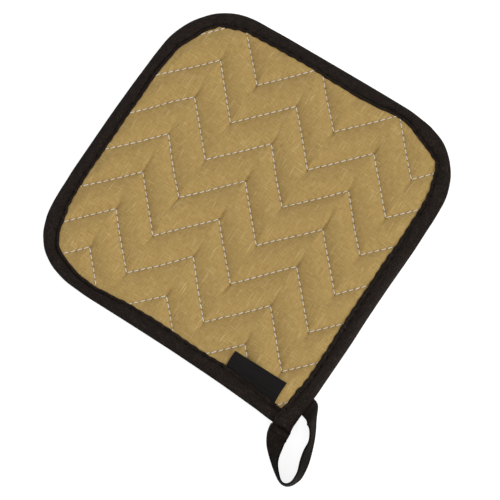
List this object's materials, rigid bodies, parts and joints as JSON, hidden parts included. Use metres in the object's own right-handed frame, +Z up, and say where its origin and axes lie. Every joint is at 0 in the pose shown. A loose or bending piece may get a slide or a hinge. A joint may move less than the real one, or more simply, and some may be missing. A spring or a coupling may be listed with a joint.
{
  "type": "pot holder",
  "caption": "Square quilted cloth pad with rounded corners, bound in folded tape whose tail forms a hanging loop at one corner; protects a hand or a table from hot pans.",
  "frame": {"origin": "on the table, under the middle of the box that holds the pad and its loop", "axes": "+Z up from the table, through the pad's thickness; +X along the runs of the zigzags; +Y across them; the loop lies at the corner towards +X and -Y"},
  "size_m": [0.2222, 0.2378, 0.0124],
  "materials": {
    "quilted_cloth": "matt plain-weave cotton in ochre tan, quilted in zigzags with off-white thread",
    "binding_tape": "matt brown-black cotton tape with a soft sheen along its folds",
    "label_cloth": "smooth black woven satin, left blank"
  },
  "bodies": {
    "root": {"pad": "quilted_cloth", "binding": "binding_tape", "loop": "binding_tape", "label": "label_cloth"}
  },
  "joints": []
}
